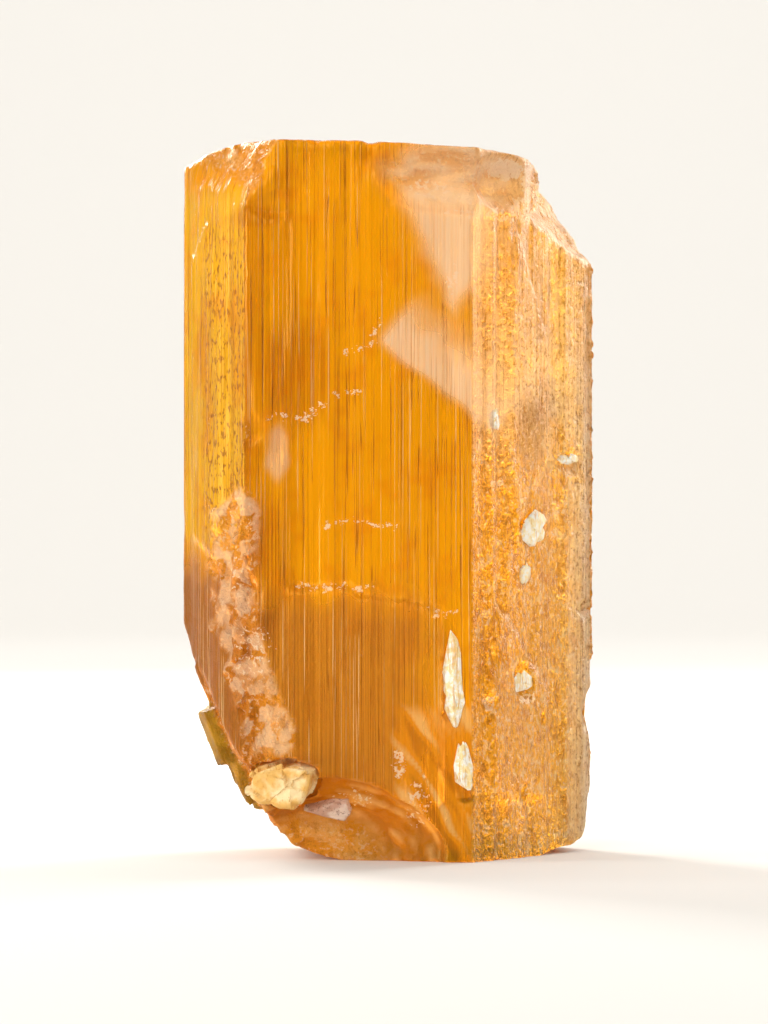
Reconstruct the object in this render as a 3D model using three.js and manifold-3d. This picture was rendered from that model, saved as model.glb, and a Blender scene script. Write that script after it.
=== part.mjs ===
// A golden beryl crystal: a stout six-sided prism, grooved lengthwise, that has broken off at its foot.
// One growth with small side crystals on its lower left flank, and two foreign grains in the foot:
// a chip of feldspar and a blade of mica.
// Millimetres. +Z is the crystal's long axis, -Y is the broad front face, and it stands on its broken foot.
import * as THREE from "three";
import { mergeVertices } from "three/addons/utils/BufferGeometryUtils.js";
import Module from "manifold-3d";

const wasm = await Module();
wasm.setup();

// Driving sizes of the crystal
const height = 60;
const frontWidth = 19.1;
const rightWidth = 21.0;
const leftWidth = 11.1;
const backRightWidth = 8.3;
const prismAngle = Math.PI / 3;

// Faces on opposite sides of the prism are parallel, so the last two widths follow from the others
const backWidth = frontWidth + leftWidth - backRightWidth;
const backLeftWidth = rightWidth + backRightWidth - leftWidth;
const halfWidth = (frontWidth + (leftWidth + rightWidth) * Math.cos(prismAngle)) / 2;
const halfDepth = ((rightWidth + backRightWidth) * Math.sin(prismAngle)) / 2;

// Lengthwise growth ledges on the prism faces
const ledgeWidth = 1.3;
const ledgeDepth = 0.34;
const riserWidth = 0.1;

// What is cut away reaches past the crystal by this much
const overshoot = 3;
const mergeDistance = 1e-4;

// A repeatable sequence of numbers from 0 to 1
function sequence(seed) {
  let state = seed;
  return () => {
    state = (state * 16807) % 2147483647;
    return state / 2147483647;
  };
}

// Smooth roughness from -1 to 1: three waves that cross at odd angles, at about one bump per wavelength
function roughness(p, wavelength, phase = 0) {
  const k = (2 * Math.PI) / wavelength;
  const first = Math.sin(k * (0.83 * p.x + 0.41 * p.y - 0.37 * p.z) + phase);
  const second = Math.sin(k * (-0.29 * p.x + 0.94 * p.y + 0.52 * p.z) + 1.7 * phase + 2.1);
  const third = Math.sin(k * (0.47 * p.x - 0.36 * p.y + 1.07 * p.z) + 2.3 * phase + 4.4);
  return (first + second + third) / 3;
}

// A closed three.js geometry as a solid that can be joined and cut
function solidFrom(geometry) {
  const bare = geometry.clone();
  bare.deleteAttribute("normal");
  bare.deleteAttribute("uv");
  const merged = mergeVertices(bare, mergeDistance);
  const mesh = new wasm.Mesh({
    numProp: 3,
    vertProperties: merged.attributes.position.array,
    triVerts: new Uint32Array(merged.index.array),
  });
  return new wasm.Manifold(mesh);
}

// A solid's surface as a three.js geometry
function geometryFrom(solid) {
  const { numProp, numVert, vertProperties, triVerts } = solid.getMesh();
  const positions = new Float32Array(numVert * 3);
  for (let i = 0; i < numVert; i++) {
    positions.set(vertProperties.subarray(i * numProp, i * numProp + 3), i * 3);
  }
  const geometry = new THREE.BufferGeometry();
  geometry.setAttribute("position", new THREE.BufferAttribute(positions, 3));
  geometry.setIndex(new THREE.BufferAttribute(triVerts, 1));
  geometry.computeVertexNormals();
  return geometry;
}

// Moves each vertex of a geometry by what shift(point) says
function moveVertices(geometry, shift) {
  const positions = geometry.attributes.position;
  const point = new THREE.Vector3();
  for (let i = 0; i < positions.count; i++) {
    point.fromBufferAttribute(positions, i);
    point.add(shift(point.clone()));
    positions.setXYZ(i, point.x, point.y, point.z);
  }
  return geometry;
}

// The prism's faces are numbered from the front face round by the right
const [frontFace, rightFace, backRightFace, backFace, backLeftFace, leftFace] = [0, 1, 2, 3, 4, 5];
const faceWidths = [frontWidth, rightWidth, backRightWidth, backWidth, backLeftWidth, leftWidth];

// The corners of the prism's section, each where its face begins
function prismCorners() {
  const corner = new THREE.Vector2(-halfWidth + leftWidth * Math.cos(prismAngle), -halfDepth);
  return faceWidths.map((width, face) => {
    const start = corner.clone();
    corner.x += width * Math.cos(face * prismAngle);
    corner.y += width * Math.sin(face * prismAngle);
    return start;
  });
}

// The prism's section with its growth ledges: each face is a row of narrow strips, set back by different
// depths
function ledgedSection() {
  const next = sequence(4711);
  const corners = prismCorners();
  const section = new THREE.Shape();
  section.moveTo(corners[0].x, corners[0].y);
  corners.forEach((start, face) => {
    const end = corners[(face + 1) % corners.length];
    const along = end.clone().sub(start);
    const width = along.length();
    along.normalize();
    const inward = new THREE.Vector2(-along.y, along.x);
    const strips = Math.round(width / ledgeWidth);
    for (let i = 0; i < strips; i++) {
      const from = (width * (i + 0.3 * next())) / strips + riserWidth;
      const to = (width * (i + 0.75 + 0.2 * next())) / strips;
      const depth = ledgeDepth * next() ** 1.5;
      for (const s of [from, to]) {
        const p = start.clone().addScaledVector(along, s).addScaledVector(inward, depth);
        section.lineTo(p.x, p.y);
      }
    }
    if (face < corners.length - 1) section.lineTo(end.x, end.y);
  });
  section.closePath();
  return section;
}

function prism() {
  const geometry = new THREE.ExtrudeGeometry(ledgedSection(), {
    depth: height + 2 * overshoot,
    bevelEnabled: false,
  });
  return solidFrom(geometry.translate(0, 0, -overshoot));
}

// The broken outline seen from the front, as [x, z] from the foot round by the right. Where the prism's
// own edges show, the outline stays clear of them.
const wide = halfWidth + overshoot;
const foot = [
  [12.9, 0],
  [14.3, 0.5],
  [15.7, 0.7],
  [16.7, 1.5],
  [17.2, 3.1],
  [17.4, 5.3],
  [17.5, 8.6],
  [17.1, 10.0],
  [16.7, 11.4],
  [16.8, 13.2],
  [17.3, 14.2],
  [17.2, 16.2],
  [wide, 19.5],
];
const crown = [
  [wide, 50.6],
  [16.7, 51.4],
  [16.1, 53.0],
  [15.0, 55.0],
  [13.2, 56.8],
  [12.9, 58.2],
  [12.3, 58.8],
  [9.5, 59.3],
  [5.5, 59.6],
  [-1.0, 59.9],
  [-1.6, 59.6],
  [-2.2, 60.0],
  [-8.5, height],
  [-12.2, height],
  [-14.0, 59.7],
  [-15.5, 59.2],
  [-16.7, 58.4],
  [-wide, 57.2],
];
const leftFlank = [
  [-wide, 23.5],
  [-17.3, 20.0],
  [-16.7, 17.8],
  [-16.2, 16.4],
  [-15.2, 14.2],
  [-14.1, 11.9],
  [-12.8, 9.1],
  [-11.5, 7.3],
  [-10.8, 4.9],
  [-9.6, 2.9],
  [-8.2, 1.3],
  [-6.2, 0.5],
  [-4.2, 0],
];

// Splits the long stretches of an outline, so that their surface can be roughened
function withSteps(points, longest) {
  return points.flatMap(([x, z], i) => {
    const [nextX, nextZ] = points[(i + 1) % points.length];
    const steps = Math.max(1, Math.round(Math.hypot(nextX - x, nextZ - z) / longest));
    const between = (from, to, s) => from + ((to - from) * s) / steps;
    return Array.from({ length: steps }, (_, s) => [between(x, nextX, s), between(z, nextZ, s)]);
  });
}

// A closed solid of an [x, z] outline that runs through the crystal from front to back. Its surface is rough,
// less so near the top end.
function fromFront(points, { coarse, fine, phase, longest = 1.6, steps = 18 }) {
  const outline = new THREE.Shape(withSteps(points, longest).map(([x, z]) => new THREE.Vector2(x, z)));
  const depth = 2 * (halfDepth + overshoot);
  const geometry = new THREE.ExtrudeGeometry(outline, { depth, steps, bevelEnabled: false });
  geometry.rotateX(Math.PI / 2).translate(0, depth / 2, 0);
  return moveVertices(geometry, (p) => {
    const calm = 0.8 * THREE.MathUtils.smoothstep(p.z, height - 3, height - 1);
    const broken = THREE.MathUtils.smoothstep(p.z, 0.02, 1.6) - calm;
    const size = broken * (coarse * roughness(p, 9, phase) + fine * roughness(p, 2.9, phase + 3));
    return new THREE.Vector3(0.75 * size, 0, size);
  });
}

// A block with a broken surface, which lies on the plane through three points of the crystal and faces its
// middle. relief gives the surface's height, towards the middle, at each place on it. Cutting with the block
// leaves a break.
function breakThrough(a, b, c, { width, length, relief, thick = 6, cells = 14 }) {
  const [first, second, third] = [a, b, c].map((p) => new THREE.Vector3(...p));
  const centre = first.clone().add(second).add(third).divideScalar(3);
  const out = second.clone().sub(first).cross(third.clone().sub(first)).normalize();
  if (out.dot(centre.clone().sub(new THREE.Vector3(0, 0, height / 2))) < 0) out.negate();
  const across = second.clone().sub(first).normalize();
  const up = out.clone().cross(across);
  const geometry = new THREE.BoxGeometry(width, length, thick, cells, cells, 1);
  geometry.translate(0, 0, thick / 2);
  moveVertices(geometry, (p) => new THREE.Vector3(0, 0, p.z > thick / 2 ? 0 : -relief(p)));
  const place = new THREE.Matrix4().makeBasis(across, up, out).setPosition(centre);
  return solidFrom(geometry.applyMatrix4(place));
}

// A shell-shaped hollow with ribs in rings round its middle, as a flattened ball seen from the front
function shell(centre, [across, deep, up], { ribs, ringCount, turn = 0, detail = 24 }) {
  const geometry = new THREE.SphereGeometry(1, detail, detail).rotateX(Math.PI / 2);
  moveVertices(geometry, (p) => {
    const ring = Math.acos(THREE.MathUtils.clamp(p.y, -1, 1));
    const uneven = roughness(p, 0.7, centre[0]);
    return p.clone().multiplyScalar(ribs * (Math.sin(2 * ringCount * ring) + uneven));
  });
  geometry.scale(across, deep, up).rotateZ(turn).translate(...centre);
  return solidFrom(geometry);
}

// Where a point on a prism face lies: s across the face from its left end, z up, out of the face
function onFace(face, s, z, out = 0) {
  const start = prismCorners()[face];
  const turn = face * prismAngle;
  return [
    start.x + s * Math.cos(turn) + out * Math.sin(turn),
    start.y + s * Math.sin(turn) - out * Math.cos(turn),
    z,
  ];
}

// Breaks that take a whole corner or edge off
function largeBreaks() {
  const topPoints = [onFace(leftFace, 0, 57.4), onFace(frontFace, 0, 54.3), onFace(frontFace, 2.9, 60)];
  const topCorner = breakThrough(...topPoints, {
    width: 22,
    length: 16,
    relief: (p) => 0.2 * roughness(p, 3.1) + 0.1 * roughness(p, 1.5, 2),
  });
  const edgePoints = [onFace(frontFace, 0, 31.5), onFace(leftFace, 7.8, 13), onFace(frontFace, 3.3, 11)];
  const frontLeftEdge = breakThrough(...edgePoints, {
    width: 26,
    length: 30,
    relief: (p) => 0.5 * roughness(p, 4.3) + 0.3 * roughness(p, 2.1, 1),
    cells: 20,
  });
  const backPoints = [
    onFace(backLeftFace, 4.6, 60),
    onFace(backLeftFace, 0, 55),
    onFace(backFace, backWidth - 7, 60),
  ];
  const backTop = breakThrough(...backPoints, {
    width: 22,
    length: 14,
    relief: (p) => 0.3 * roughness(p, 3.4, 4),
  });
  const frontFoot = shell([-5.6, -15.1, 0], [11.4, 6.2, 7.9], { ribs: 0.05, ringCount: 7, detail: 30 });
  const backFoot = shell([-3, 16.0, 1], [12, 7, 8.6], { ribs: 0.03, ringCount: 6 });
  const rightFoot = shell([20.8, 8.0, 0], [5.4, 4.4, 9.5], { ribs: 0.03, ringCount: 4, turn: prismAngle });
  return [topCorner, frontLeftEdge, backTop, frontFoot, backFoot, rightFoot];
}

// The scoops under the crown at the front right, and the step to their right: an upright wall with a
// sloping shoulder below it
function crownBreaks() {
  const frontScoop = shell([5.9, -13.9, 57.3], [8.3, 2.8, 3.9], { ribs: 0.03, ringCount: 4 });
  const rightScoop = shell(onFace(rightFace, 4.5, 56.8, 0.5), [4.5, 2.0, 2.6], {
    ribs: 0.03,
    ringCount: 3,
    turn: prismAngle,
    detail: 16,
  });
  const wallPoints = [onFace(rightFace, 9.45, 57), [12.95, halfDepth, 57], onFace(rightFace, 9.6, 50)];
  const wall = breakThrough(...wallPoints, {
    width: 30,
    length: 22,
    relief: (p) => 0.12 * roughness(p, 4.7, 2),
    thick: 10,
    cells: 8,
  });
  const shoulderPoints = [
    onFace(rightFace, 8.0, 54.1),
    onFace(rightFace, 19.5, 50.5),
    [12.9, halfDepth, 57.5],
  ];
  const shoulder = breakThrough(...shoulderPoints, {
    width: 32,
    length: 20,
    relief: (p) => 0.22 * roughness(p, 3.7, 6) + 0.1 * roughness(p, 1.7),
    thick: 14,
    cells: 18,
  });
  return [frontScoop, rightScoop, wall.intersect(shoulder)];
}

// Chips struck from a face or an edge, as [face, s, z, half its width, depth, half its length]
const chips = [
  [frontFace, 10.4, 58.9, 1.5, 0.5, 1.6],
  [frontFace, 0.3, 35.9, 1.5, 0.6, 1.2],
  [frontFace, 2.9, 35.0, 0.9, 0.3, 2.6],
  [frontFace, 3.1, 54.6, 3.0, 0.35, 1.2],
  [rightFace, 9.9, 27.5, 2.3, 0.8, 1.6],
  [rightFace, 8.7, 23.7, 0.9, 0.45, 1.1],
  [rightFace, 8.3, 14.9, 1.6, 0.7, 1.6],
  [rightFace, 2.5, 13.2, 1.1, 0.5, 0.9],
  [rightFace, 16.7, 33.4, 2.4, 0.5, 1.1],
  [rightFace, 19.7, 20.7, 1.5, 0.7, 1.1],
  [rightFace, 20.4, 12.0, 1.8, 0.8, 2.4],
  [backFace, 5.2, 41.0, 2.9, 0.8, 2.2],
  [backFace, 14.6, 22.5, 2.1, 0.5, 3.4],
  [backLeftFace, 8.4, 46.5, 2.0, 0.6, 3.0],
  [backLeftFace, 12.9, 15.2, 2.6, 0.8, 2.0],
  [backRightFace, 3.0, 33.5, 1.7, 0.6, 2.6],
  [backRightFace, 5.8, 14.0, 1.4, 0.7, 2.2],
  [leftFace, 8.9, 27.8, 1.1, 0.35, 2.1],
];

// The hollow a chip leaves: a shallow dish of a few flat facets, with its middle out in front of the face
function chipCutters() {
  return chips.map(([face, s, z, halfChip, depth, halfLength]) => {
    const geometry = new THREE.IcosahedronGeometry(1, 1);
    moveVertices(geometry, (p) => p.clone().multiplyScalar(0.22 * roughness(p, 1.3, s + z)));
    geometry.scale(1.15 * halfChip, 2 * depth, 1.15 * halfLength).rotateZ(face * prismAngle);
    return solidFrom(geometry.translate(...onFace(face, s, z, depth)));
  });
}

// Grooves along the prism: each is a thin wedge that runs out at both ends, as
// [face, s, lowest z, highest z, depth]
const longGrooves = [
  [frontFace, 3.6, 22, 58, 0.42],
  [frontFace, 4.9, 9, 40, 0.38],
  [frontFace, 6.2, 34, 57, 0.5],
  [frontFace, 6.9, 14, 52, 0.34],
  [frontFace, 8.1, 26, 55, 0.5],
  [frontFace, 9.3, 11, 30, 0.36],
  [frontFace, 9.9, 41, 56, 0.5],
  [frontFace, 11.2, 33, 52, 0.5],
  [frontFace, 11.8, 9, 45, 0.42],
  [frontFace, 13.3, 24, 53, 0.38],
  [frontFace, 14.4, 12, 37, 0.34],
  [frontFace, 15.6, 30, 50, 0.36],
  [frontFace, 16.8, 20, 36, 0.3],
  [rightFace, 3.4, 34, 51, 0.4],
  [rightFace, 7.2, 30, 52, 0.42],
  [rightFace, 11.6, 12, 30, 0.36],
  [rightFace, 13.8, 27, 49, 0.44],
  [rightFace, 16.2, 22, 44, 0.38],
  [leftFace, 3.2, 30, 54, 0.34],
  [leftFace, 5.3, 26, 51, 0.38],
  [leftFace, 8.0, 34, 55, 0.32],
  [backLeftFace, 4.4, 20, 50, 0.42],
  [backLeftFace, 10.8, 18, 44, 0.4],
  [backFace, 3.0, 14, 47, 0.4],
  [backFace, 9.6, 18, 52, 0.45],
  [backFace, 12.2, 26, 50, 0.4],
  [backFace, 17.4, 12, 46, 0.42],
  [backRightFace, 5.6, 20, 48, 0.4],
];
const grooveOpening = 0.3;

// Squares a groove's three-sided section on its face, and draws its two ends out to points
function grooveCutters() {
  return longGrooves.map(([face, s, low, high, depth]) => {
    const length = high - low;
    const geometry = new THREE.CylinderGeometry(1, 1, length, 3, 4);
    geometry.rotateX(Math.PI / 2);
    moveVertices(geometry, (p) => {
      const taper = Math.sqrt(Math.max(0.02, 1 - (2 * p.z) ** 2 / length ** 2)) - 1;
      return new THREE.Vector3(p.x * taper, p.y * taper, 0);
    });
    geometry.rotateZ(Math.PI / 6).scale(grooveOpening, depth + ledgeDepth, 1);
    geometry.rotateZ(face * prismAngle).translate(...onFace(face, s, (low + high) / 2, ledgeDepth / 2));
    return solidFrom(geometry);
  });
}

// Etch pits on the frosted right face and round the back: small boat-shaped hollows with four sides, as
// [face, count]
const pitted = [
  [rightFace, 40],
  [backRightFace, 10],
  [backLeftFace, 10],
];
const pitRadius = [0.45, 0.95];
const pitTop = 45;

function pitCutters() {
  const next = sequence(97);
  return pitted.flatMap(([face, count]) =>
    Array.from({ length: count }, () => {
      const s = (0.05 + 0.9 * next()) * faceWidths[face];
      const z = 2.5 + pitTop * next() ** 1.2;
      const radius = THREE.MathUtils.lerp(...pitRadius, next() ** 2);
      const geometry = new THREE.OctahedronGeometry(radius, 0);
      geometry.rotateY(0.5 * next() - 0.25).scale(0.75, 0.8, 1.3 + 1.4 * next());
      return solidFrom(geometry.rotateZ(face * prismAngle).translate(...onFace(face, s, z, 0.15)));
    }),
  );
}

// Growth plates that stand a little proud of their face, each with its outline as [s, z] and its thickness
const plates = [
  {
    face: frontFace,
    outline: [[3.6, 5], [3.5, 22.6], [8.7, 22.8], [9.0, 21.9], [13.2, 21.5], [16.3, 20.8], [16.4, 5]],
    out: 0.24,
  },
  {
    face: frontFace,
    outline: [[0.6, 37.5], [0.2, 57], [2.6, 57.5], [3.4, 46], [2.9, 40], [1.6, 36.6]],
    out: 0.2,
  },
  {
    face: rightFace,
    outline: [[6.0, 33], [6.6, 50], [7.4, 52.6], [12.2, 44], [10.1, 33], [7.5, 26]],
    out: 0.22,
  },
  {
    face: rightFace,
    outline: [[3.4, 5], [2.6, 15.5], [4.4, 21.0], [12.6, 14], [12.0, 5]],
    out: 0.2,
  },
  {
    face: backFace,
    outline: [[6.4, 20], [5.2, 44], [9.0, 55.5], [13.6, 54], [15.4, 33], [12.0, 17]],
    out: 0.24,
  },
  {
    face: backLeftFace,
    outline: [[2.2, 24], [2.8, 49], [6.8, 53], [8.8, 33], [6.6, 21]],
    out: 0.22,
  },
  {
    face: leftFace,
    outline: [[2.2, 27], [1.8, 50], [4.6, 53.5], [7.0, 45], [6.6, 25]],
    out: 0.16,
  },
];
const plateRoot = 1;

function growthPlates() {
  return plates.map(({ face, outline, out }) => {
    const shape = new THREE.Shape(outline.map(([s, z]) => new THREE.Vector2(s, z)));
    const geometry = new THREE.ExtrudeGeometry(shape, { depth: plateRoot, bevelEnabled: false });
    geometry.rotateX(Math.PI / 2).rotateZ(face * prismAngle);
    return solidFrom(geometry.translate(...onFace(face, 0, 0, out - plateRoot)));
  });
}

// Low terraces on the flat top end, as six-sided plates at [x, y, radius, top]
const terraceRoot = 1.2;
const terraces = [
  [-4.6, 1.6, 7.4, 60.25],
  [-6.2, 3.2, 4.1, 60.5],
  [3.4, 4.6, 5.2, 60.05],
];

function topTerraces() {
  return terraces.map(([x, y, radius, top]) => {
    const geometry = new THREE.CylinderGeometry(radius, radius, terraceRoot, 6);
    return solidFrom(geometry.rotateX(Math.PI / 2).translate(x, y, top - terraceRoot / 2));
  });
}

// Bright splinters lifted from the front right edge, as [s on the front face, low z, high z, width, depth]
const splinters = [
  [17.2, 11.8, 19.4, 1.7, 0.75],
  [18.4, 5.1, 9.8, 1.5, 0.8],
  [13.0, 7.3, 9.7, 0.8, 0.4],
];

function splinterCutters() {
  return splinters.map(([s, low, high, width, depth]) => {
    const geometry = new THREE.CylinderGeometry(1, 1, high - low, 4, 4);
    geometry.rotateX(Math.PI / 2).rotateZ(Math.PI / 4);
    moveVertices(geometry, (p) => {
      const share = (p.z - (low - high) / 2) / (high - low);
      const taper = 1 - 0.75 * share ** 2 - 0.2 * (1 - share);
      return new THREE.Vector3(p.x * (taper - 1), p.y * (taper - 1), 0);
    });
    geometry.scale(width / Math.SQRT2, depth * Math.SQRT2, 1).rotateZ(0.35);
    return solidFrom(geometry.translate(...onFace(frontFace, s, (low + high) / 2)));
  });
}

// A small six-sided crystal, whose top end is cut flat and whose foot is drawn in. Its axis leans from
// [x, y, z] of its top towards its foot.
function sideCrystal({ top, foot: end, radius, turn = 0, waist = 0.8, flat = 1 }) {
  const from = new THREE.Vector3(...end);
  const to = new THREE.Vector3(...top);
  const length = from.distanceTo(to);
  const geometry = new THREE.CylinderGeometry(radius, radius * waist, length, 6, 1);
  geometry.scale(1, 1, flat).rotateY(turn);
  const lean = new THREE.Quaternion().setFromUnitVectors(
    new THREE.Vector3(0, 1, 0),
    to.clone().sub(from).normalize(),
  );
  geometry.applyQuaternion(lean).translate(...from.add(to).divideScalar(2).toArray());
  return solidFrom(geometry);
}

// The side crystals that grew on the lower left flank, from the highest to the lowest
const sideCrystals = [
  { top: [-15.5, -4.8, 16.5], foot: [-14.0, -4.4, 12.6], radius: 1.15, waist: 0.9, turn: 0.4 },
  { top: [-14.5, -5.6, 12.8], foot: [-13.0, -5.2, 8.2], radius: 1.9, waist: 0.85, turn: 0.1 },
  { top: [-12.8, -4.4, 10.4], foot: [-11.7, -4.2, 6.4], radius: 1.8, waist: 0.8, turn: 0.6 },
  { top: [-12.3, -6.8, 8.4], foot: [-11.5, -6.4, 5.5], radius: 1.25, turn: 0.3 },
  { top: [-12.1, -6.9, 6.9], foot: [-11.2, -6.5, 4.8], radius: 1.05, turn: 0.9 },
  { top: [-11.6, -4.1, 6.3], foot: [-10.6, -3.9, 4.2], radius: 1.0, turn: 0.2 },
  { top: [-9.8, -8.8, 4.8], foot: [-9.1, -8.1, 3.1], radius: 0.9, turn: 0.7 },
  { top: [-13.4, 1.6, 10.4], foot: [-11.6, 1.8, 6.6], radius: 1.3, turn: 0.5 },
];

// The two foreign grains, as outlines on the front of the foot with a thickness, and how they lean
const feldsparOutline = [
  [-2.9, 1.3],
  [0.4, 1.9],
  [2.6, 1.3],
  [2.2, -0.2],
  [1.5, -1.4],
  [-0.4, -1.7],
  [-2.3, -1.5],
  [-3.1, -0.3],
];
const micaOutline = [
  [-2.2, 0.2],
  [0.2, 0.85],
  [1.7, 0.9],
  [2.0, -0.2],
  [1.5, -1.0],
  [0.1, -0.6],
];
const grainGap = 0.3;

function grain(outline, { at, thick, lean, turn, grow = 0, dents = 0.12 }) {
  const points = outline.map(([x, z]) => {
    const size = Math.hypot(x, z);
    return new THREE.Vector2(x * (1 + grow / size), z * (1 + grow / size));
  });
  const geometry = new THREE.ExtrudeGeometry(new THREE.Shape(points), {
    depth: thick + 2 * grow,
    steps: 2,
    bevelEnabled: grow === 0,
    bevelThickness: 0.25,
    bevelSize: 0.25,
    bevelOffset: -0.25,
    bevelSegments: 1,
  });
  geometry.translate(0, 0, -thick / 2 - grow).rotateX(Math.PI / 2);
  if (grow === 0) {
    moveVertices(geometry, (p) => p.clone().multiplyScalar(-dents * Math.abs(roughness(p, 2.3))));
  }
  geometry.rotateX(lean).rotateZ(turn).translate(...at);
  return solidFrom(geometry);
}

const feldsparPlace = { at: [-8.3, -11.1, 6.7], thick: 3.4, lean: 0.28, turn: -0.3 };
const micaPlace = { at: [-5.1, -10.6, 4.3], thick: 0.9, lean: 0.5, turn: -0.12 };

function crystal() {
  let body = prism();
  for (const plate of growthPlates()) body = body.add(plate);
  body = body.intersect(
    solidFrom(fromFront([...foot, ...crown, ...leftFlank], { coarse: 0.34, fine: 0.16, phase: 1 })),
  );
  for (const terrace of topTerraces()) body = body.add(terrace);
  const cutters = [
    ...largeBreaks(),
    ...crownBreaks(),
    ...chipCutters(),
    ...grooveCutters(),
    ...pitCutters(),
    ...splinterCutters(),
  ];
  for (const cutter of cutters) body = body.subtract(cutter);
  for (const side of sideCrystals) body = body.add(sideCrystal(side));
  body = body.subtract(grain(feldsparOutline, { ...feldsparPlace, grow: grainGap }));
  return body.subtract(grain(micaOutline, { ...micaPlace, grow: grainGap }));
}

function namedMesh(name, solid, look) {
  const mesh = new THREE.Mesh(geometryFrom(solid), new THREE.MeshStandardMaterial(look));
  mesh.name = name;
  return mesh;
}

const specimen = new THREE.Group();
const amber = { color: 0xe0900f, roughness: 0.25, metalness: 0 };
const cream = { color: 0xf1cf86, roughness: 0.6, metalness: 0 };
const tan = { color: 0xd0a283, roughness: 0.55, metalness: 0 };
specimen.add(
  namedMesh("beryl_crystal", crystal(), amber),
  namedMesh("feldspar_chip", grain(feldsparOutline, feldsparPlace), cream),
  namedMesh("mica_blade", grain(micaOutline, micaPlace), tan),
);

// The origin is under the middle of the crystal, on the surface that it stands on
const extent = new THREE.Box3().setFromObject(specimen);
const middle = extent.getCenter(new THREE.Vector3());
specimen.position.set(-middle.x, -middle.y, -extent.min.z);

export default specimen;
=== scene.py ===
"""The looks of the golden beryl crystal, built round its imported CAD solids. Lengths are in millimetres
until a mesh is written, which is in metres."""

import math

import bmesh
import bpy
import numpy as np
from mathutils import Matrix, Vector, noise


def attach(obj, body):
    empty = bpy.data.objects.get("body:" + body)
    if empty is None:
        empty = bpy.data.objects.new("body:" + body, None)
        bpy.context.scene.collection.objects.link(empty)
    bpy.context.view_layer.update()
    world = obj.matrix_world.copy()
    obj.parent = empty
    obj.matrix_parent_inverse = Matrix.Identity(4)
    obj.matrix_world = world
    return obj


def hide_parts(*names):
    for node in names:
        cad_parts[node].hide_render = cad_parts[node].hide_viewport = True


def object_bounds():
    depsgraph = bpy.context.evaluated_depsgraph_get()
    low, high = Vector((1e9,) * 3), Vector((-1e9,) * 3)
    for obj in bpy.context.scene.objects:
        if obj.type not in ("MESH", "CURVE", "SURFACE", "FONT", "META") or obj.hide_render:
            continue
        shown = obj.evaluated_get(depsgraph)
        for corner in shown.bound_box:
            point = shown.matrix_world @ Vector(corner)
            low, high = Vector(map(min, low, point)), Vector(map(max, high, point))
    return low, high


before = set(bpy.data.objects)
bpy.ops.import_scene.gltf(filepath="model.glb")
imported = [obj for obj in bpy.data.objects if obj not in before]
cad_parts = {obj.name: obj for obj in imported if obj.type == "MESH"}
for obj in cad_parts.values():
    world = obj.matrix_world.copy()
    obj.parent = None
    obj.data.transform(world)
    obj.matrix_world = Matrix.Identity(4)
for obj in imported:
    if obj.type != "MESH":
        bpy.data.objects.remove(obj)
cad_low, cad_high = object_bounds()
MM = 0.001

# The beryl crystal: one growth of golden beryl, a stout six-sided prism with small side crystals on its
# lower left flank. Growth has grooved its faces lengthwise and etching has frosted the right one. The ends,
# the edges and the foot are shell-shaped breaks, ragged and paler than the faces.
FACET = 0.3
FACES = 6
FRONT, RIGHT, BACK_RIGHT, BACK, BACK_LEFT, LEFT = range(FACES)
PLATE_THICKNESS = 0.24


def fine_copy(node, name, facet):
    """The CAD node's shape as a new piece, made of small even facets."""
    piece = bpy.data.objects.new(name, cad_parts[node].data.copy())
    bpy.context.scene.collection.objects.link(piece)
    joined = bmesh.new()
    joined.from_mesh(piece.data)
    bmesh.ops.remove_doubles(joined, verts=joined.verts, dist=1e-3 * MM)
    joined.to_mesh(piece.data)
    joined.free()
    remesh = piece.modifiers.new("facets", "REMESH")
    remesh.mode = "VOXEL"
    remesh.voxel_size = facet * MM
    shape = piece.evaluated_get(bpy.context.evaluated_depsgraph_get())
    piece.data = bpy.data.meshes.new_from_object(shape)
    piece.modifiers.clear()
    piece.data.materials.clear()
    return piece


def read_points(mesh):
    """The mesh's points in millimetres and the directions that its surface faces there."""
    points = np.empty(len(mesh.vertices) * 3)
    mesh.vertices.foreach_get("co", points)
    facing = np.empty(len(mesh.vertices) * 3)
    mesh.vertex_normals.foreach_get("vector", facing)
    return points.reshape(-1, 3) / MM, facing.reshape(-1, 3)


def write_points(mesh, points):
    """Puts the points back, none of them outside the CAD part's box."""
    points = np.clip(points * MM, np.array(cad_low), np.array(cad_high))
    mesh.vertices.foreach_set("co", points.ravel())
    mesh.update()


def bumps(points, size, seed=0.0, stretch=(1, 1, 1)):
    """Smooth noise from about -1 to 1 at each point, one bump per size, longer where it is stretched."""
    spread = points / (size * np.array(stretch, float)) + seed
    return np.array([noise.noise(Vector(p)) for p in spread])


noise.seed_set(5)  # turns the facets the same way each time


def facets(points, size):
    """Broken facets of about the size: how high each place is on its own tilted facet, and a number for each
    facet from about -1 to 1."""
    height = np.empty(len(points))
    kind = np.empty(len(points))
    for i, place in enumerate(points / size):
        here = Vector(place)
        middle = noise.voronoi(here)[1][0]
        height[i] = (here - middle).dot(noise.noise_vector(middle * 5.3))
        kind[i] = noise.noise(middle * 3.7)
    return height * size, kind * 2


def ramp(value, start, end):
    """0 before the start, 1 after the end, smooth between them."""
    share = np.clip((value - start) / (end - start), 0, 1)
    return share * share * (3 - 2 * share)


def inside(u, v, corners, soft):
    """1 inside a convex outline given clockwise as seen, 0 outside it, soft at its edge."""
    reach = np.full(len(u), 1e9)
    for (u0, v0), (u1, v1) in zip(corners, corners[1:] + corners[:1]):
        length = math.hypot(u1 - u0, v1 - v0)
        reach = np.minimum(reach, ((v1 - v0) * (u - u0) - (u1 - u0) * (v - v0)) / length)
    return ramp(reach, -soft, soft)


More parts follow.
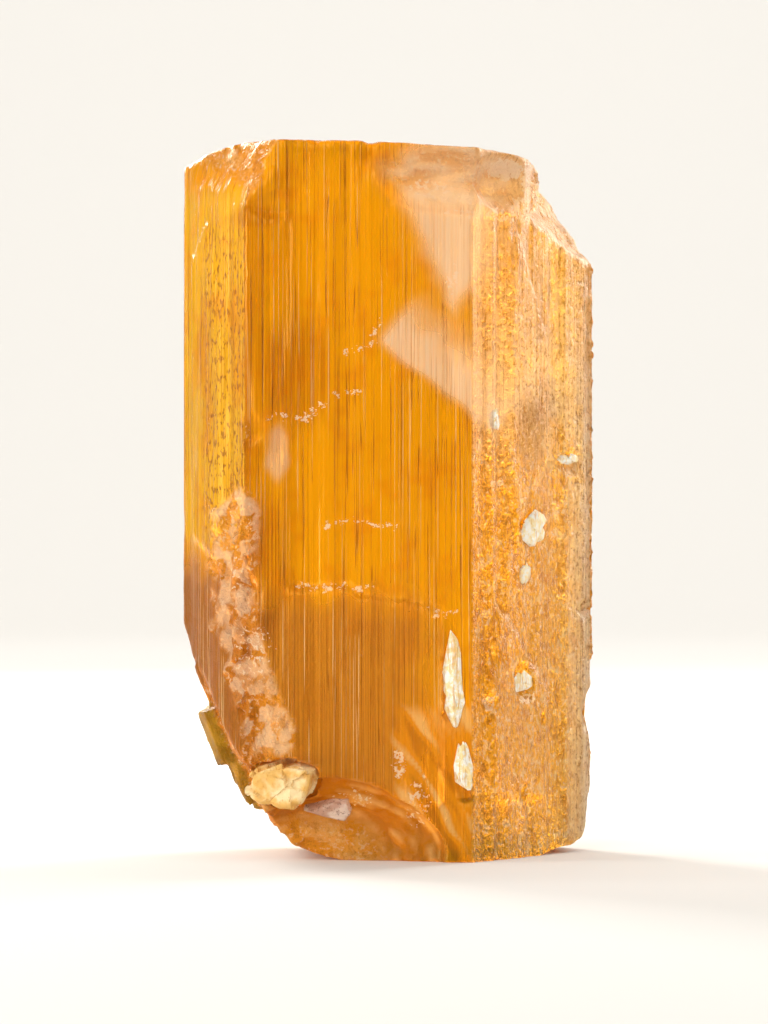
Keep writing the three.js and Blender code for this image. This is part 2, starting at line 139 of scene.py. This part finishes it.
def spot(u, v, centre, half):
    """1 in the middle of an oval spot, falling smoothly to 0 at its edge."""
    return 1 - ramp(np.hypot((u - centre[0]) / half[0], (v - centre[1]) / half[1]), 0.45, 1.0)


def along(u, v, path, half_width):
    """1 on a path of straight stretches, falling smoothly to 0 at the half width from it."""
    away = np.full(len(u), 1e9)
    for (u0, v0), (u1, v1) in zip(path, path[1:]):
        du, dv = u1 - u0, v1 - v0
        share = np.clip(((u - u0) * du + (v - v0) * dv) / (du * du + dv * dv), 0, 1)
        away = np.minimum(away, np.hypot(u - u0 - share * du, v - v0 - share * dv))
    return 1 - ramp(away, 0.2 * half_width, half_width)


crystal = fine_copy("beryl_crystal", "crystal", FACET)
points, facing = read_points(crystal.data)
turns = np.arange(FACES) * math.pi / 3
face_out = np.stack([np.sin(turns), -np.cos(turns), np.zeros(FACES)], axis=1)
face_along = np.stack([np.cos(turns), np.sin(turns), np.zeros(FACES)], axis=1)
cad_points, _ = read_points(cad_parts["beryl_crystal"].data)
face_reach = (cad_points @ face_out.T).max(axis=0) - PLATE_THICKNESS
below_face = face_reach - points @ face_out.T
face = below_face.argmin(axis=1)
below = below_face.min(axis=1)

# Each face's corner and the length round the prism up to it, so that grooves can be drawn round the crystal
corners = []
for k in range(FACES):
    pair = np.stack([face_out[k - 1, :2], face_out[k, :2]])
    corners.append(np.linalg.solve(pair, [face_reach[k - 1], face_reach[k]]))
corners = np.array(corners)
widths = np.linalg.norm(np.roll(corners, -1, axis=0) - corners, axis=1)
across = ((points[:, :2] - corners[face]) * face_along[face, :2]).sum(axis=1)
around = across + np.concatenate([[0], np.cumsum(widths)[:-1]])[face]
prism_middle = (corners.min(axis=0) + corners.max(axis=0)) / 2
x = points[:, 0] - prism_middle[0]
z = points[:, 2]
seen = ramp(-facing[:, 1], 0.05, 0.3)

# Where the surface is a break. Places on the front are given as seen from there: x to the right of the
# middle and z up. The crust is the chipped strip down the front left edge.
ragged = bumps(points, 1.7)
fine_ragged = bumps(points, 0.7, seed=31)
blotch = bumps(points, 2.4, seed=17, stretch=(1, 1, 1.8)) + 0.5 * bumps(points, 1.0, seed=23)
upright = 1 - np.abs(facing[:, 2])
on_face = (facing * face_out[face]).sum(axis=1)
broken = np.maximum(ramp(below + 0.15 * ragged, 0.55, 1.0), 1 - ramp(on_face, 0.5, 0.8))
crust = along(x + 0.5 * ragged, z, [(-12.4, 29.0), (-12.9, 22.0), (-11.7, 16.0), (-9.6, 10.5)], 2.9) * seen
broken = np.maximum(broken, ramp(crust + 0.4 * ragged, 0.25, 0.6))
top_end = ramp(facing[:, 2], 0.8, 0.95) * ramp(z, 57, 59)
broken = broken * (1 - 0.65 * top_end)
chip_height, chip = facets(points + 0.3 * ragged[:, None], 1.2)
crown = seen * ramp(z, 52.5, 54.5) * ramp(x, -3, 0) * broken
crown_flow = bumps(points, 1.0, seed=41, stretch=(3.4, 3.4, 0.7))
chip = chip * (1 - crown) + 1.6 * crown_flow * crown
foot = (1 - ramp(z, 0.05, 0.3)) * ramp(-facing[:, 2], 0.5, 0.9)

# The side crystals are what stands out past the flank, whose outline is given as heights and places across
FLANK_Z = [0.5, 1.3, 2.9, 4.9, 7.3, 9.1, 11.9, 14.2, 16.4, 17.8]
FLANK_X = [-6.2, -8.2, -9.6, -10.8, -11.5, -12.8, -14.1, -15.2, -16.2, -16.7]
side_crystal = ramp(np.interp(z, FLANK_Z, FLANK_X) - x, 0.3, 0.5) * (1 - ramp(z, 16.6, 17.4))

# Where etching has frosted the surface, where growth has left it matt and where it is darker or paler
etched = np.isin(face, [RIGHT, BACK_RIGHT]) * (1 - 0.3 * ramp(z, 34, 52))
cream = etched * np.maximum(ramp(z + 4 * ragged, 28, 42), ramp(across + ragged, 14, 20))
lower_front = (face == FRONT) * (1 - ramp(z + 1.2 * ragged, 19.5, 24.0)) * (1 - ramp(x + ragged, 0.0, 6.0))
left_side = np.where(face == BACK_LEFT, 0.8 * ramp(across, 6, 16), face == LEFT)
lower_left = left_side * (1 - ramp(z + 1.5 * ragged, 21.5, 27.5))
grey_patch = (face == RIGHT) * spot(across, z, (9.6, 35.5), (3.6, 4.2))
matt = np.maximum.reduce([lower_front, lower_left, grey_patch])
shade = np.maximum.reduce([
    lower_left,
    spot(x, z, (-7.6, 40.6), (4.2, 6.0)) * (face == FRONT),  # a cloud high on the front
    spot(x, z, (-10.6, 24.5), (2.6, 8.5)) * seen,  # beside the crust
    0.55 * (face == FRONT) * (1 - ramp(x + 0.5 * ragged, -10.9, -9.8)),  # the front's left margin
    spot(x + 0.4 * ragged, z, (-11.8, 35.6), (1.2, 2.0)) * seen,  # a notch in the front left edge
    spot(x + 0.5 * ragged, z, (-11.2, 53.6), (2.6, 1.4)) * seen,  # below the chipped upper left corner
    0.6 * np.isin(face, [BACK, BACK_LEFT]) * ramp(bumps(points, 7.0, seed=8), 0.0, 0.5),  # clouds behind
])

# Pale veils inside the crystal, seen through its front
upper_veil = inside(x + 0.5 * ragged, z, [(-0.4, 57.0), (9.8, 57.0), (8.9, 48.8), (5.3, 44.2)], 1.7)
# The lower veil's lower edge is sharp and runs down to the right from here, and it fades away above
veil_x, veil_z, veil_slope, veil_length = -1.4, 43.4, -0.68, 13.6
veil_along = (x - veil_x) * math.cos(veil_slope) + (z - veil_z) * math.sin(veil_slope)
veil_above = (z - veil_z) * math.cos(veil_slope) - (x - veil_x) * math.sin(veil_slope)
lower_veil = ramp(veil_above + 0.3 * ragged, -0.8, 0.8) * (1 - ramp(veil_above + 0.9 * ragged, 2.0, 10.0))
lower_veil = lower_veil * ramp(veil_along, -1.0, 1.2)
lower_veil = lower_veil * (1 - ramp(veil_along, veil_length - 1.2, veil_length))
veil = seen * np.maximum.reduce([
    upper_veil,
    lower_veil,
    0.85 * spot(x + 0.4 * ragged, z, (-9.25, 34.0), (1.4, 3.8)),  # a small one near the front left edge
    0.8 * spot(x + 1.4 * ragged, z, (5.5, 57.6), (9.5, 4.2)),  # haze under the crown
    0.78 * spot(x + 0.5 * ragged, z, (10.2, 56.6), (3.6, 4.0)),  # and at its right end
])

# Above its brown lower part, the left face is painted a brighter yellow: a painted glow of the light that
# shines through it. It has rows of short dark dashes
painted_glow = (face == LEFT) * ramp(z, 25, 28) * (1 - ramp(z, 55, 57))
dashed = (face == LEFT) * ramp(across, 3.0, 5.0) * ramp(z, 24, 28) * (1 - ramp(z, 51, 55))

# The shell-shaped break of the foot has ribs in rings round its middle
shell_reach = np.hypot((x + 5.6) / 11.4, z / 7.9)
ribbed = broken * (face == FRONT) * ramp(shell_reach, 0.3, 0.6) * (1 - ramp(shell_reach, 1.0, 1.06))
shell_turn = np.arctan2(z / 7.9, (x + 5.6) / 11.4)
ripples = np.stack([shell_reach, 0.14 * shell_turn, np.zeros_like(z)], axis=1)
rib = ribbed * np.clip(2.2 * bumps(ripples, 0.065, seed=5) + 0.5 * fine_ragged, -1, 1)

# Right of it, the front is a glassy break whose flow lines fan down to the right
flowing = (face == FRONT) * (1 - ribbed) * ramp(x + 0.6 * ragged, 0.0, 1.2)
flowing = flowing * (1 - ramp(z + 0.9 * ragged, 11.6, 13.6))
FLOW_TURN = 1.05
flow_along = x * math.cos(FLOW_TURN) - z * math.sin(FLOW_TURN)
flow_across = x * math.sin(FLOW_TURN) + z * math.cos(FLOW_TURN) + 0.3 * ragged
flow_places = np.stack([flow_across, np.zeros_like(z), flow_along], axis=1)
fan = bumps(flow_places, 0.8, seed=13, stretch=(1, 1, 7))

# Growth grooves on the faces, ragged breaks and etch grain, as real relief
lines = np.stack([around, np.zeros_like(z), z], axis=1)
swell = bumps(lines, 1.0, seed=3, stretch=(1, 1, 28)) + 0.6 * bumps(lines, 0.62, seed=9, stretch=(1, 1, 15))
groove = np.exp(-((swell / 0.14) ** 2))
smooth_face = (1 - broken) * (1 - side_crystal) * (1 - flowing)
chipped = broken * (1 - ribbed) * (1 - side_crystal)
relief = (
    (0.025 * swell - 0.06 * groove) * smooth_face * (1 - 0.4 * etched)
    + (0.8 * chip_height * (1 - 0.3 * crown) + 0.4 * crown_flow * crown) * chipped * upright
    + 0.08 * fine_ragged * np.maximum(chipped * upright, 0.8 * etched * (1 - side_crystal))
    + 0.13 * rib
    + 0.15 * fan * flowing
    + 0.04 * fine_ragged * matt
)
write_points(crystal.data, points + facing * (relief * (1 - foot))[:, None])

# Ragged cream patches seen from the front, each as [x, z, half its width, half its height, how dense]:
# flakes on the right face, the bright ends of the veils, and places in the crown's scoops, the crust and
# the foot
PALE_SPOTS = [
    [5.3, 48.4, 1.0, 2.2, 0.5],
    [8.7, 37.4, 0.8, 2.4, 0.7],
    [9.1, 31.5, 1.0, 0.5, 0.6],
    [11.7, 13.3, 1.2, 0.8, 0.6],
    [8.4, 13.2, 0.8, 1.0, 0.6],
    [16.9, 20.4, 0.6, 0.7, 0.8],
    [16.2, 30.5, 0.8, 2.8, 0.42],
    [15.6, 40.0, 1.6, 8.0, 0.3],
    [9.8, 57.8, 2.2, 1.3, 0.8],
    [11.4, 54.6, 1.9, 1.9, 0.55],
    [12.2, 56.8, 1.4, 2.4, 0.9],
    [7.6, 53.9, 4.4, 0.9, 0.5],
    [3.6, 56.0, 3.0, 1.4, 0.45],
    [-11.4, 17.4, 2.6, 3.8, 0.36],
    [-12.9, 24.0, 1.2, 2.6, 0.36],
    [0.9, 8.3, 0.9, 1.8, 0.6],
    [2.4, 5.0, 1.6, 3.4, 0.4],
    [-3.0, 5.2, 2.6, 1.2, 0.42],
]
# Thin healed cracks and the lit upper edge of the front growth plate
PALE_PATHS = [
    [(-3.6, 42.3), (-1.4, 43.0), (-0.8, 45.0)],
    [(-6.2, 37.6), (-4.4, 38.6), (-2.4, 39.2)],
    [(-9.9, 36.9), (-6.4, 37.1)],
    [(-5.3, 28.0), (-2.4, 28.2), (0.4, 27.9)],
    [(-7.6, 22.9), (-1.5, 22.8)],
    [(2.6, 20.9), (5.4, 20.7)],
]
pale = np.zeros(len(points))
for spot_x, spot_z, half_width, half_height, dense in PALE_SPOTS:
    pale = np.maximum(pale, dense * spot(x, z, (spot_x, spot_z), (half_width, half_height)))
for path in PALE_PATHS:
    pale = np.maximum(pale, 0.45 * along(x, z + 0.3 * ragged, path, 0.6))
pale = pale * seen
KEPT = {
    "around": around,
    "blotch": blotch,
    "broken": broken,
    "etched": etched,
    "cream": cream,
    "matt": matt,
    "shade": shade,
    "veil": veil**4,
    "painted_glow": painted_glow,
    "dashed": dashed,
    "chip": chip,
    "flowing": flowing,
    "fan": fan,
    "whitened": np.maximum(crown, 0.85 * ramp(crust + 0.3 * ragged, 0.3, 0.7)),
    "rib": np.maximum(rib, 0),
    "ribbed": ribbed,
    "side_crystal": side_crystal,
    "pale": pale,
}
for name, values in KEPT.items():
    kept = crystal.data.attributes.new(name, "FLOAT", "POINT")
    kept.data.foreach_set("value", values.astype(np.float32))


def srgb(text):
    """A colour written as six hexadecimal digits, as linear red, green, blue and alpha."""
    shares = [int(text[i : i + 2], 16) / 255 for i in (0, 2, 4)]
    return (*[c / 12.92 if c <= 0.04045 else ((c + 0.055) / 1.055) ** 2.4 for c in shares], 1.0)


class Signal:
    """A material's number at each place on the surface, which ordinary arithmetic works on."""

    def __init__(self, graph, socket):
        self.graph = graph
        self.socket = socket

    def _math(self, operation, *others):
        operands = dict(enumerate((self, *others)))
        return self.graph.node("ShaderNodeMath", {"operation": operation}, operands)

    def __add__(self, other):
        return self._math("ADD", other)

    def __sub__(self, other):
        return self._math("SUBTRACT", other)

    def __rsub__(self, other):
        return self.graph.node("ShaderNodeMath", {"operation": "SUBTRACT"}, {0: other, 1: self})

    def __mul__(self, other):
        return self._math("MULTIPLY", other)

    __radd__ = __add__
    __rmul__ = __mul__

    def near(self, value, width):
        """1 at the value, falling to 0 at the width from it."""
        return (self - value)._math("ABSOLUTE").above(width, 0.3 * width)

    def above(self, start, end):
        """0 on the start's side of the range and 1 on the end's, with a smooth change between them."""
        sockets = {"Value": self, "From Min": start, "From Max": end}
        return self.graph.node("ShaderNodeMapRange", {"interpolation_type": "SMOOTHSTEP"}, sockets)


class Graph:
    """A material's nodes, made one at a time."""

    def __init__(self, name):
        self.material = bpy.data.materials.new(name)
        self.material.use_nodes = True
        self.nodes = self.material.node_tree.nodes
        self.links = self.material.node_tree.links
        self.nodes.clear()

    def node(self, kind, settings, sockets, output=0):
        """Any node, with each socket given a signal or a value."""
        made = self.nodes.new(kind)
        for name, value in settings.items():
            setattr(made, name, value)
        for name, value in sockets.items():
            if isinstance(value, Signal):
                self.links.new(value.socket, made.inputs[name])
            else:
                made.inputs[name].default_value = value
        return Signal(self, made.outputs[output])

    def kept(self, name):
        """A number that the mesh holds at each of its points."""
        return self.node("ShaderNodeAttribute", {"attribute_name": name}, {}, "Fac")

    def place(self):
        """The place on the piece, in millimetres."""
        metres = self.node("ShaderNodeTexCoord", {}, {}, "Object")
        sockets = {0: metres, "Scale": 1 / MM}
        return self.node("ShaderNodeVectorMath", {"operation": "SCALE"}, sockets)

    def noise(self, where, per_mm, detail=2.0, rough=0.5):
        sockets = {"Vector": where, "Scale": per_mm, "Detail": detail, "Roughness": rough}
        return self.node("ShaderNodeTexNoise", {}, sockets)

    def mix(self, first, second, share):
        """The first colour where the share is 0 and the second where it is 1."""
        return self.node("ShaderNodeMix", {"data_type": "RGBA"}, {0: share, 6: first, 7: second}, 2)

    def bump(self, height, depth_mm):
        """The surface's direction, tilted as if the height from 0 to 1 were that depth of relief."""
        sockets = {"Height": height, "Distance": depth_mm * MM, "Strength": 1.0}
        return self.node("ShaderNodeBump", {}, sockets)

    def finish(self, sockets, volume=None):
        surface = self.node("ShaderNodeBsdfPrincipled", {}, sockets)
        ends = {"Surface": surface}
        if volume:
            ends["Volume"] = self.node("ShaderNodeVolumeAbsorption", {}, volume)
        made = self.nodes.new("ShaderNodeOutputMaterial")
        for name, signal in ends.items():
            self.links.new(signal.socket, made.inputs[name])
        return self.material


BERYL_IOR = 1.577
ABSORBED_PER_METRE = 55


def golden_beryl():
    """Clear amber crystal with thin dark grooves, frosted and paler where it is etched or broken."""
    graph = Graph("golden beryl")
    place = graph.place()
    up = graph.node("ShaderNodeSeparateXYZ", {}, {0: place}, "Z")
    broken, etched, matt = graph.kept("broken"), graph.kept("etched"), graph.kept("matt")
    shade, veil, cream, blotch = (graph.kept(name) for name in ("shade", "veil", "cream", "blotch"))
    whole = 1 - broken
    drawn_out = graph.node("ShaderNodeCombineXYZ", {}, {"X": graph.kept("around"), "Z": up * 0.007})
    grooves = graph.noise(drawn_out, 1.8, detail=2, rough=0.7)
    fine_grooves = graph.noise(drawn_out, 5.5, detail=1, rough=0.6)
    short = graph.node("ShaderNodeCombineXYZ", {}, {"X": graph.kept("around"), "Z": up * 0.4})
    dashes = graph.noise(short, 3.2, detail=2, rough=0.7)
    grain = graph.noise(place, 2.2, detail=2, rough=0.75)

    # Dark lines in the grooves, and thin bright lines that are painted highlights
    dark_line = (grooves.near(0.5, 0.012) + fine_grooves.above(0.62, 0.68)) * whole * blotch.above(-0.9, 0.1)
    highlight_line = fine_grooves.above(0.37, 0.32) * whole * blotch.above(0.6, -0.2)
    striped = fine_grooves.above(0.56, 0.42) * whole

    # The faces
    # painted glow: the left face painted brighter yellow where light shines through it
    colour = graph.mix(srgb("ffb400"), srgb("ffca10"), graph.kept("painted_glow"))
    colour = graph.mix(colour, srgb("f09006"), blotch.above(-0.1, 0.7) * 0.5)
    colour = graph.mix(colour, srgb("c87408"), shade * (0.25 + striped * 0.4))
    colour = graph.mix(colour, srgb("b2702c"), matt * 0.7)
    colour = graph.mix(colour, srgb("8e4c0a"), matt * shade * 0.75)
    colour = graph.mix(colour, srgb("945608"), striped * (matt * 0.5 + shade * 0.2))
    colour = graph.mix(colour, srgb("804604"), dark_line * (0.7 + shade * 0.2))
    colour = graph.mix(colour, srgb("8a4a08"), dashes.above(0.53, 0.6) * graph.kept("dashed") * 0.75)
    # painted highlights: thin cream lines, stronger where the surface is matt
    colour = graph.mix(colour, srgb("ffe2a4"), highlight_line * (0.5 + matt * 0.3))

    # The glassy break at the foot
    fan, flowing = graph.kept("fan"), graph.kept("flowing")
    # flow lines painted pale on the ripples' crests: painted sheen
    flow = graph.mix(srgb("ee9a12"), srgb("ffdc94"), fan.above(0.05, 0.4) * 0.8)
    # and darker in their troughs: painted shade
    flow = graph.mix(flow, srgb("a05a08"), fan.above(-0.1, -0.4) * 0.6)
    colour = graph.mix(colour, flow, flowing * 0.9)

    # The etched face, golden and mottled low down and frosted above
    tan = graph.mix(srgb("eeb22c"), srgb("f2e6c0"), cream)
    tan = graph.mix(tan, srgb("f2b426"), blotch.above(0.1, 0.6) * (0.6 - cream * 0.35))
    coarse = graph.noise(place, 0.8, detail=2, rough=0.8)
    tan = graph.mix(tan, srgb("a8690c"), coarse.above(0.47, 0.38) * (0.75 - cream * 0.5))
    tan = graph.mix(tan, srgb("fff0c4"), coarse.above(0.55, 0.64) * 0.7)
    tan = graph.mix(tan, srgb("b09468"), matt * 0.8)
    # the dark growth lines, and painted shade in the hollows of the etch grain
    lines_and_pit_shade = striped * cream * 0.25 + dark_line * cream * 0.6 + grain.above(0.46, 0.36) * 0.6
    tan = graph.mix(tan, srgb("6e4010"), lines_and_pit_shade)
    # painted glints on the tops of the etch grain
    tan = graph.mix(tan, srgb("fff2da"), grain.above(0.58, 0.66) * 0.8)
    colour = graph.mix(colour, tan, etched * (0.8 + cream * 0.12))

    # The ragged breaks and the foot's ribs
    chip = graph.kept("chip")
    shell = graph.mix(srgb("e29a2a"), srgb("efc074"), chip.above(-0.4, 0.6))
    shell = graph.mix(shell, srgb("b8660e"), shade * 0.7)
    rough_break = 1 - graph.kept("ribbed") * 0.8
    # painted shade in the hollows of the broken surfaces' grain
    shell = graph.mix(shell, srgb("9a5a18"), grain.above(0.46, 0.34) * rough_break * 0.6)
    # painted highlights on the tops of that grain
    shell = graph.mix(shell, srgb("fff0d0"), grain.above(0.54, 0.66) * rough_break * 0.7)
    shell = graph.mix(shell, srgb("fff0d6"), graph.kept("whitened") * chip.above(-0.6, 0.4) * 0.7)
    shell = graph.mix(shell, srgb("bc6806"), graph.kept("ribbed") * 0.85)
    shell = graph.mix(shell, srgb("ffd68c"), graph.kept("rib") * 0.75)
    colour = graph.mix(colour, shell, broken * 0.8)

    # Veils, side crystals and pale patches
    colour = graph.mix(colour, srgb("fff0d2"), veil * (0.94 - striped * 0.16 - dark_line * 0.4))
    olive = graph.mix(srgb("94700e"), srgb("d2a828"), blotch.above(-0.3, 0.5))
    colour = graph.mix(colour, olive, graph.kept("side_crystal") * 0.95)
    pale = graph.kept("pale")
    patch = (pale + (grain - 0.5) * 1.8).above(0.44, 0.6) * pale.above(0.02, 0.2)
    colour = graph.mix(colour, srgb("fff2da"), patch * 0.92)

    roughness = 0.15 + dark_line * 0.1 + matt * 0.25 + etched * (0.05 + cream * 0.2) + broken * 0.12
    roughness = roughness + veil * 0.2 + patch * 0.2
    height = (
        (grooves - 0.5) * whole * 0.6
        + (highlight_line - dark_line) * 0.06
        + (fine_grooves - 0.5) * matt * whole * 0.3
        + (grain - 0.5) * (0.06 + etched * 0.75 + matt * 0.2 + broken * rough_break * 0.5)
    )
    surface = {
        "Base Color": colour,
        "Roughness": roughness,
        "Normal": graph.bump(height, 0.35),
        "IOR": BERYL_IOR,
        "Specular Tint": srgb("ffc868"),
        "Transmission Weight": 0.55,
    }
    absorbed = {"Color": srgb("ffdc5a"), "Density": ABSORBED_PER_METRE}
    return graph.finish(surface, absorbed)


def pale_break():
    """Splinters and flakes: finely split beryl, which scatters the light and looks cream to white."""
    graph = Graph("pale break")
    place = graph.place()
    fibres = graph.node("ShaderNodeVectorMath", {"operation": "MULTIPLY"}, {0: place, 1: (1, 1, 0.06)})
    split = graph.noise(fibres, 4.0, detail=3)
    grain = graph.noise(place, 1.6, detail=3, rough=0.7)
    colour = graph.mix(srgb("fadf9e"), srgb("fffaec"), grain.above(0.4, 0.58))
    colour = graph.mix(colour, srgb("dca03c"), split.above(0.54, 0.62) * 0.65)
    surface = {"Base Color": colour, "Roughness": 0.38, "Normal": graph.bump(split + grain * 0.4, 0.3)}
    return graph.finish(surface)


# Splinters lifted from the front right edge and flakes struck from the right face: each is a closed faceted
# sliver that lies half sunk in the hollow it left, as [face, across, z, half width, half height, taper]
SPLINTERS = [
    [FRONT, 17.2, 15.4, 1.1, 3.9, 0.45],
    [FRONT, 17.5, 12.9, 0.7, 1.9, -0.3],
    [FRONT, 18.3, 7.4, 1.0, 2.9, 0.3],
    [RIGHT, 9.9, 27.7, 2.6, 1.5, 0.1],
    [RIGHT, 8.8, 23.9, 0.8, 1.3, -0.4],
    [RIGHT, 8.3, 14.9, 2.1, 1.2, 0.2],
    [RIGHT, 16.7, 33.6, 1.9, 0.6, 0.0],
    [RIGHT, 3.6, 37.0, 0.6, 1.2, 0.4],
]
SHARDS = 3
SHARD_POINTS = 14
SHARD_DEPTH = 0.4
SHARD_SUNK = (0.05, 0.2)
SHARD_SHIFT = 0.35
SHARD_WIDTH, SHARD_HEIGHT = 0.75, 0.8
chance = np.random.default_rng(5)
splinters = bmesh.new()
for where, place_across, place_z, half_width, half_height, taper in np.repeat(SPLINTERS, SHARDS, axis=0):
    where = int(where)
    share = chance.uniform(-1, 1, SHARD_POINTS)
    turn = chance.uniform(0, 2 * math.pi, SHARD_POINTS)
    aside, above = chance.uniform(-SHARD_SHIFT, SHARD_SHIFT, 2)
    width = SHARD_WIDTH * half_width * np.sqrt(1 - share**2) * (1 - taper * share) * np.cos(turn)
    deep = SHARD_DEPTH * np.sqrt(1 - share**2) * np.sin(turn) - chance.uniform(*SHARD_SUNK)
    flat = corners[where] + np.outer(place_across + aside * half_width + width, face_along[where, :2])
    flat = flat + np.outer(deep, face_out[where, :2])
    up = place_z + half_height * (above + SHARD_HEIGHT * share)
    made = [splinters.verts.new((px * MM, py * MM, pz * MM)) for (px, py), pz in zip(flat, up)]
    hull = bmesh.ops.convex_hull(splinters, input=made)
    bmesh.ops.delete(splinters, geom=[v for v in hull["geom_interior"] if isinstance(v, bmesh.types.BMVert)])
bmesh.ops.recalc_face_normals(splinters, faces=splinters.faces)
for facet in splinters.faces:
    facet.material_index = 1
    facet.smooth = False
sliver_mesh = bpy.data.meshes.new("splinters")
splinters.to_mesh(sliver_mesh)
splinters.free()
crystal.data.shade_smooth()
both = bmesh.new()
both.from_mesh(crystal.data)
both.from_mesh(sliver_mesh)
both.to_mesh(crystal.data)
both.free()
crystal.data.materials.append(golden_beryl())
crystal.data.materials.append(pale_break())
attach(crystal, "root")
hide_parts("beryl_crystal")


# The feldspar chip: a cream, opaque block of feldspar, broken on every side, which the crystal has grown
# round. It sits in a pocket of the foot.
feldspar = fine_copy("feldspar_chip", "feldspar", 0.12)
points, facing = read_points(feldspar.data)
chip_height, _ = facets(points, 2.1)
uneven = 0.5 * chip_height + 0.05 * bumps(points, 0.5, seed=2) - 0.05
write_points(feldspar.data, points + facing * uneven[:, None])


def cream_feldspar():
    """Cream to pale orange, dull, with thin warm cracks."""
    graph = Graph("cream feldspar")
    place = graph.place()
    clouds = graph.noise(place, 0.5, detail=3)
    grain = graph.noise(place, 3.0, detail=4, rough=0.7)
    colour = graph.mix(srgb("e8b45c"), srgb("f8dda6"), clouds.above(0.42, 0.6))
    colour = graph.mix(colour, srgb("d99038"), grain.above(0.58, 0.7) * 0.7)
    return graph.finish({"Base Color": colour, "Roughness": 0.55, "Normal": graph.bump(grain, 0.12)})


feldspar.data.materials.append(cream_feldspar())
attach(feldspar, "root")
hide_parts("feldspar_chip")


# The mica blade: a tan to pink sliver of mica, finely split along its length and speckled. It sits in a
# pocket of its own beside the chip.
mica = fine_copy("mica_blade", "mica", 0.08)
points, facing = read_points(mica.data)
leaves = bumps(points, 0.3, seed=21, stretch=(6, 1, 0.8))
write_points(mica.data, points + facing * (0.06 * leaves - 0.03)[:, None])


def tan_mica():
    """Tan to pink with dark specks, with the silky shine of split mica."""
    graph = Graph("tan mica")
    place = graph.place()
    specks = graph.noise(place, 3.6, detail=3, rough=0.7)
    clouds = graph.noise(place, 0.7)
    colour = graph.mix(srgb("c99a80"), srgb("e8cdb8"), clouds.above(0.4, 0.6))
    colour = graph.mix(colour, srgb("8a5a44"), specks.above(0.56, 0.64) * 0.7)
    return graph.finish({"Base Color": colour, "Roughness": 0.42, "Normal": graph.bump(specks, 0.08)})


mica.data.materials.append(tan_mica())
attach(mica, "root")
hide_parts("mica_blade")


# The studio: a plain pale floor that curves up into a backdrop, which has a light of its own. Soft lights
# from behind on both sides shine through the clear crystal. One in front and one on the left are soft and
# broad, and a low one on the right skims the frosted face.
FLOOR_FRONT, FLOOR_BACK, FLOOR_HALF_WIDTH, CURVE_RADIUS, WALL_HEIGHT = -1500.0, 900.0, 2500.0, 600.0, 2500.0


def studio_floor():
    bend = [
        (FLOOR_BACK + CURVE_RADIUS * math.sin(a), CURVE_RADIUS * (1 - math.cos(a)))
        for a in np.linspace(0, math.pi / 2, 17)
    ]
    profile = [(FLOOR_FRONT, 0.0), *bend, (FLOOR_BACK + CURVE_RADIUS, WALL_HEIGHT)]
    places = [(side * FLOOR_HALF_WIDTH * MM, y * MM, h * MM) for side in (-1, 1) for y, h in profile]
    count = len(profile)
    strips = [(i, count + i, count + i + 1, i + 1) for i in range(count - 1)]
    mesh = bpy.data.meshes.new("floor")
    mesh.from_pydata(places, [], strips)
    mesh.shade_smooth()
    graph = Graph("pale paper")
    mesh.materials.append(graph.finish({"Base Color": srgb("e6e3de"), "Roughness": 0.9}))
    floor = bpy.data.objects.new("floor", mesh)
    bpy.context.scene.collection.objects.link(floor)


def soft_light(name, place, aim, size, watts, tint):
    lamp = bpy.data.lights.new(name, "AREA")
    lamp.shape = "RECTANGLE"
    lamp.size, lamp.size_y = size[0] * MM, size[1] * MM
    lamp.energy = watts
    lamp.color = tint
    light = bpy.data.objects.new(name, lamp)
    light.location = Vector(place) * MM
    light.rotation_euler = (Vector(aim) - Vector(place)).to_track_quat("-Z", "Y").to_euler()
    bpy.context.scene.collection.objects.link(light)


studio_floor()
MIDDLE = (0, 0, 30)
soft_light("behind left", (-210, 400, 230), MIDDLE, (120, 240), 2.0, (1.0, 0.97, 0.92))
soft_light("behind right", (240, 300, 190), MIDDLE, (120, 220), 0.9, (1.0, 0.97, 0.93))
soft_light("front", (-150, -420, 260), MIDDLE, (300, 300), 0.9, (1.0, 0.98, 0.95))
soft_light("left", (-380, -110, 90), MIDDLE, (160, 260), 1.1, (1.0, 0.97, 0.92))
soft_light("skimming right", (330, -150, 90), MIDDLE, (90, 200), 0.3, (1.0, 0.98, 0.95))
soft_light("backdrop", (0, 350, 900), (0, 1400, 200), (900, 300), 11.0, (1.0, 0.99, 0.97))
world = bpy.data.worlds.new("studio")
world.use_nodes = True
world.node_tree.nodes["Background"].inputs["Color"].default_value = (0.95, 0.94, 0.92, 1)
world.node_tree.nodes["Background"].inputs["Strength"].default_value = 0.42
bpy.context.scene.world = world
bpy.context.scene.view_settings.view_transform = "Standard"

# The photograph's view: level, from the front, far enough away that upright edges stay parallel
CAMERA_DISTANCE, CAMERA_HEIGHT, CAMERA_SIDE = 500.0, 29.1, -0.38
SEEN_HEIGHT = 87.14
SENSOR = 36.0
camera_data = bpy.data.cameras.new("camera")
camera_data.sensor_width = SENSOR
camera_data.lens = SENSOR * CAMERA_DISTANCE / SEEN_HEIGHT
camera_data.clip_start, camera_data.clip_end = 50 * MM, 5.0
camera = bpy.data.objects.new("camera", camera_data)
aim_x, aim_y = prism_middle
camera.location = Vector((aim_x + CAMERA_SIDE, aim_y - CAMERA_DISTANCE, CAMERA_HEIGHT)) * MM
camera.rotation_euler = (math.pi / 2, 0, 0)
bpy.context.scene.collection.objects.link(camera)
bpy.context.scene.camera = camera
